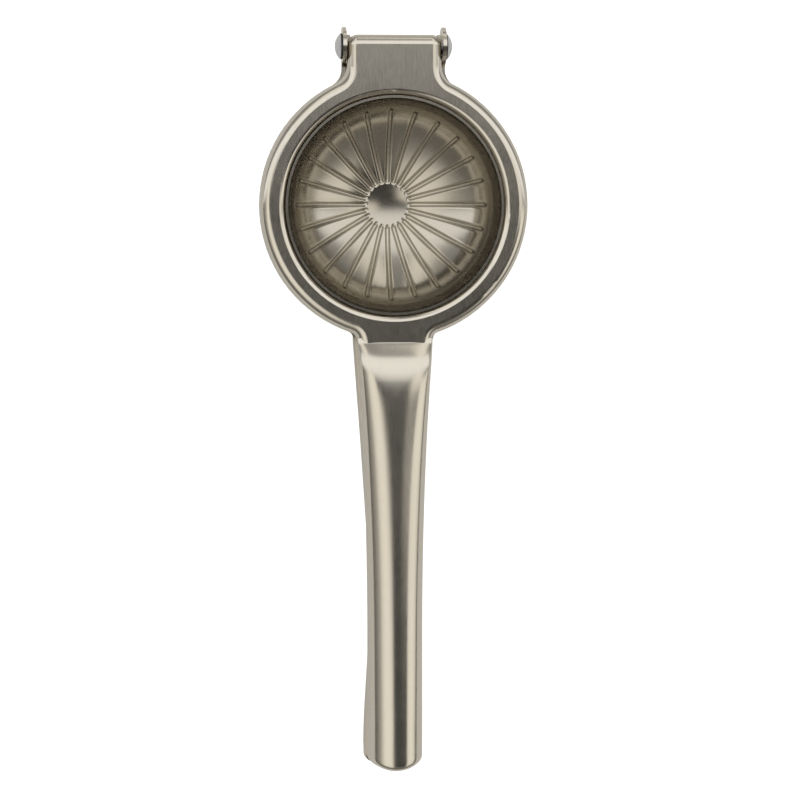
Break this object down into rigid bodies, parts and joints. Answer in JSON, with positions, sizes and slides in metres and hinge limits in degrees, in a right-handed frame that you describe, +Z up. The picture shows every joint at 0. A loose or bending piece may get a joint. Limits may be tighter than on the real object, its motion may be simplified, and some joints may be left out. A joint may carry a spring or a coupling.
{
  "type": "hinged lemon squeezer",
  "caption": "Two pressed steel arms hinged past the rings, with a fluted presser cup above a perforated bowl.",
  "frame": {"origin": "bottom centre of the closed squeezer as it lies on a table, on its bowl and the tail of its lower handle", "axes": "+Z up from the table, +Y along the squeezer towards the hinge, +X to the right along the hinge pin"},
  "size_m": [0.0824, 0.228, 0.0398],
  "materials": {
    "arm_steel": "satin brushed",
    "cup_steel": "satin brushed",
    "bowl_steel": "satin brushed",
    "rivet_steel": "polished dome",
    "washer_black": "matt black"
  },
  "bodies": {
    "lower_half": {"lower_arm": "arm_steel", "strainer_bowl": "bowl_steel", "rivet_left": "rivet_steel", "rivet_right": "rivet_steel", "washer_left": "washer_black", "washer_right": "washer_black"},
    "upper_half": {"upper_arm": "arm_steel", "presser_cup": "cup_steel"}
  },
  "joints": [
    {"name": "squeeze_hinge", "type": "hinge", "parent": "lower_half", "child": "upper_half", "pos_m": [0, 0.10812, 0.03393], "axis": [-1, 0, 0], "range_deg": [0, 150]}
  ]
}
